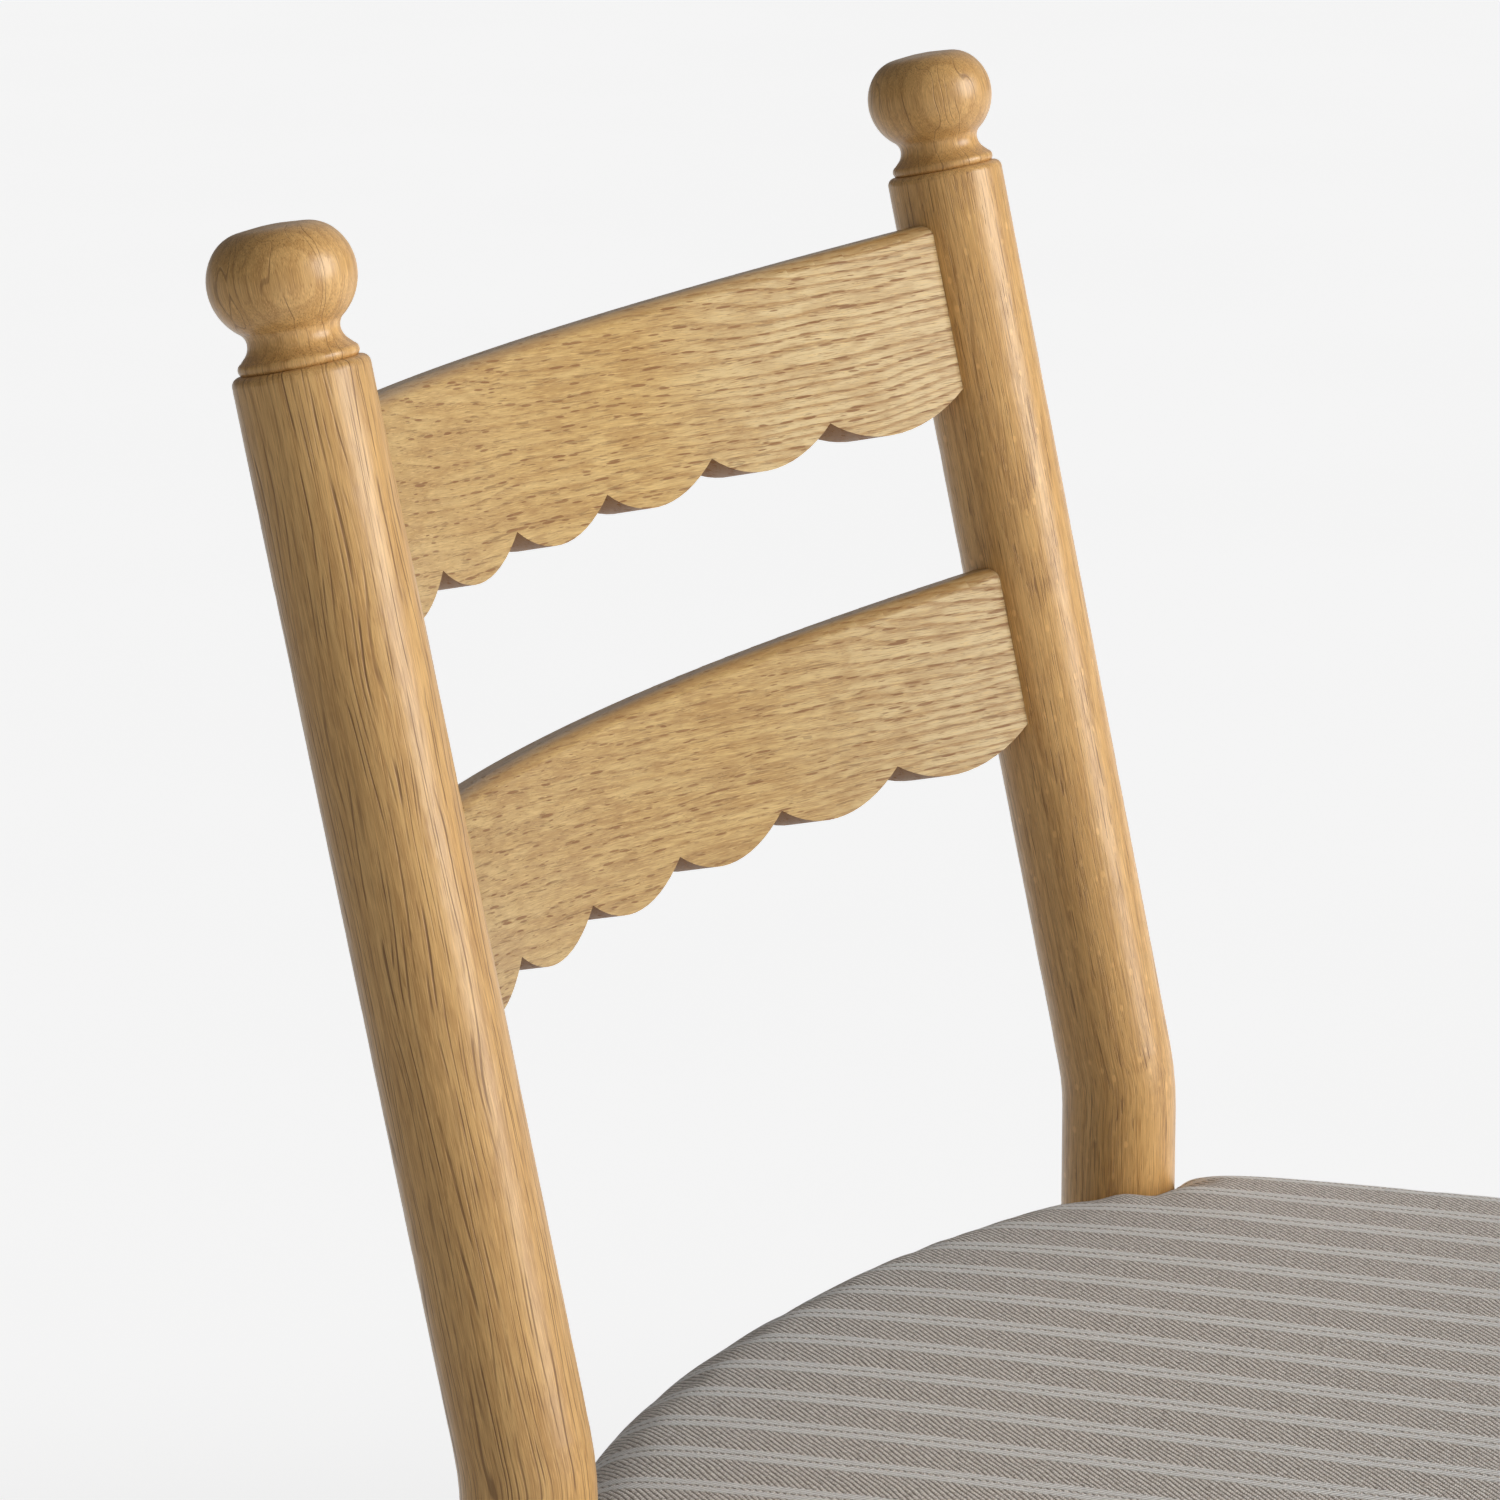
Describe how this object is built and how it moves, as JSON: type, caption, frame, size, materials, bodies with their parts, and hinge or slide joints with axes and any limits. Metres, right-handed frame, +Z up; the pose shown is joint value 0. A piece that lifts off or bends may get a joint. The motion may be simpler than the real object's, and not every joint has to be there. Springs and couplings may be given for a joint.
{
  "type": "side chair",
  "caption": "Armless ladder-back dining chair: raked round posts with ball finials, bowed scalloped slats and a striped upholstered seat.",
  "frame": {"origin": "on the floor, under the centre of the chair's bounding box", "axes": "+Z up; the chair faces -Y; +X is the sitter's left"},
  "size_m": [0.524, 0.5009, 0.8539],
  "materials": {
    "oak": "satin lacquered oak, open pores, straight and cathedral grain",
    "oak_turned": "satin lacquered turned oak",
    "dowel_wood": "raw fluted hardwood dowel",
    "block_wood": "raw sawn softwood",
    "plywood": "raw birch plywood",
    "foam": "open-cell cushion foam",
    "striped_twill": "taupe twill with pairs of thin off-white stripes",
    "black_cloth": "black non-woven dust cloth",
    "zinc_steel": "bright zinc plate",
    "nylon": "matt moulded nylon"
  },
  "bodies": {
    "root": {"rear_post_left": "oak", "rear_post_right": "oak", "finial_left": "oak_turned", "finial_right": "oak_turned", "finial_dowel_left": "dowel_wood", "finial_dowel_right": "dowel_wood", "upper_slat": "oak", "lower_slat": "oak", "front_leg_left": "oak", "front_leg_right": "oak", "front_rail": "oak", "rear_rail": "oak", "side_rail_left": "oak", "side_rail_right": "oak", "side_stretcher_left": "oak_turned", "side_stretcher_right": "oak_turned", "front_stretcher": "oak_turned", "rear_stretcher": "oak_turned", "corner_block_front_left": "block_wood", "corner_block_front_right": "block_wood", "corner_block_rear_left": "block_wood", "corner_block_rear_right": "block_wood", "corner_block_screws": "zinc_steel", "seat_board": "plywood", "seat_foam": "foam", "seat_cover": "striped_twill", "cover_staples": "zinc_steel", "dust_cover": "black_cloth", "seat_screws": "zinc_steel", "foot_glides": "nylon", "glide_nails": "zinc_steel"}
  },
  "joints": []
}
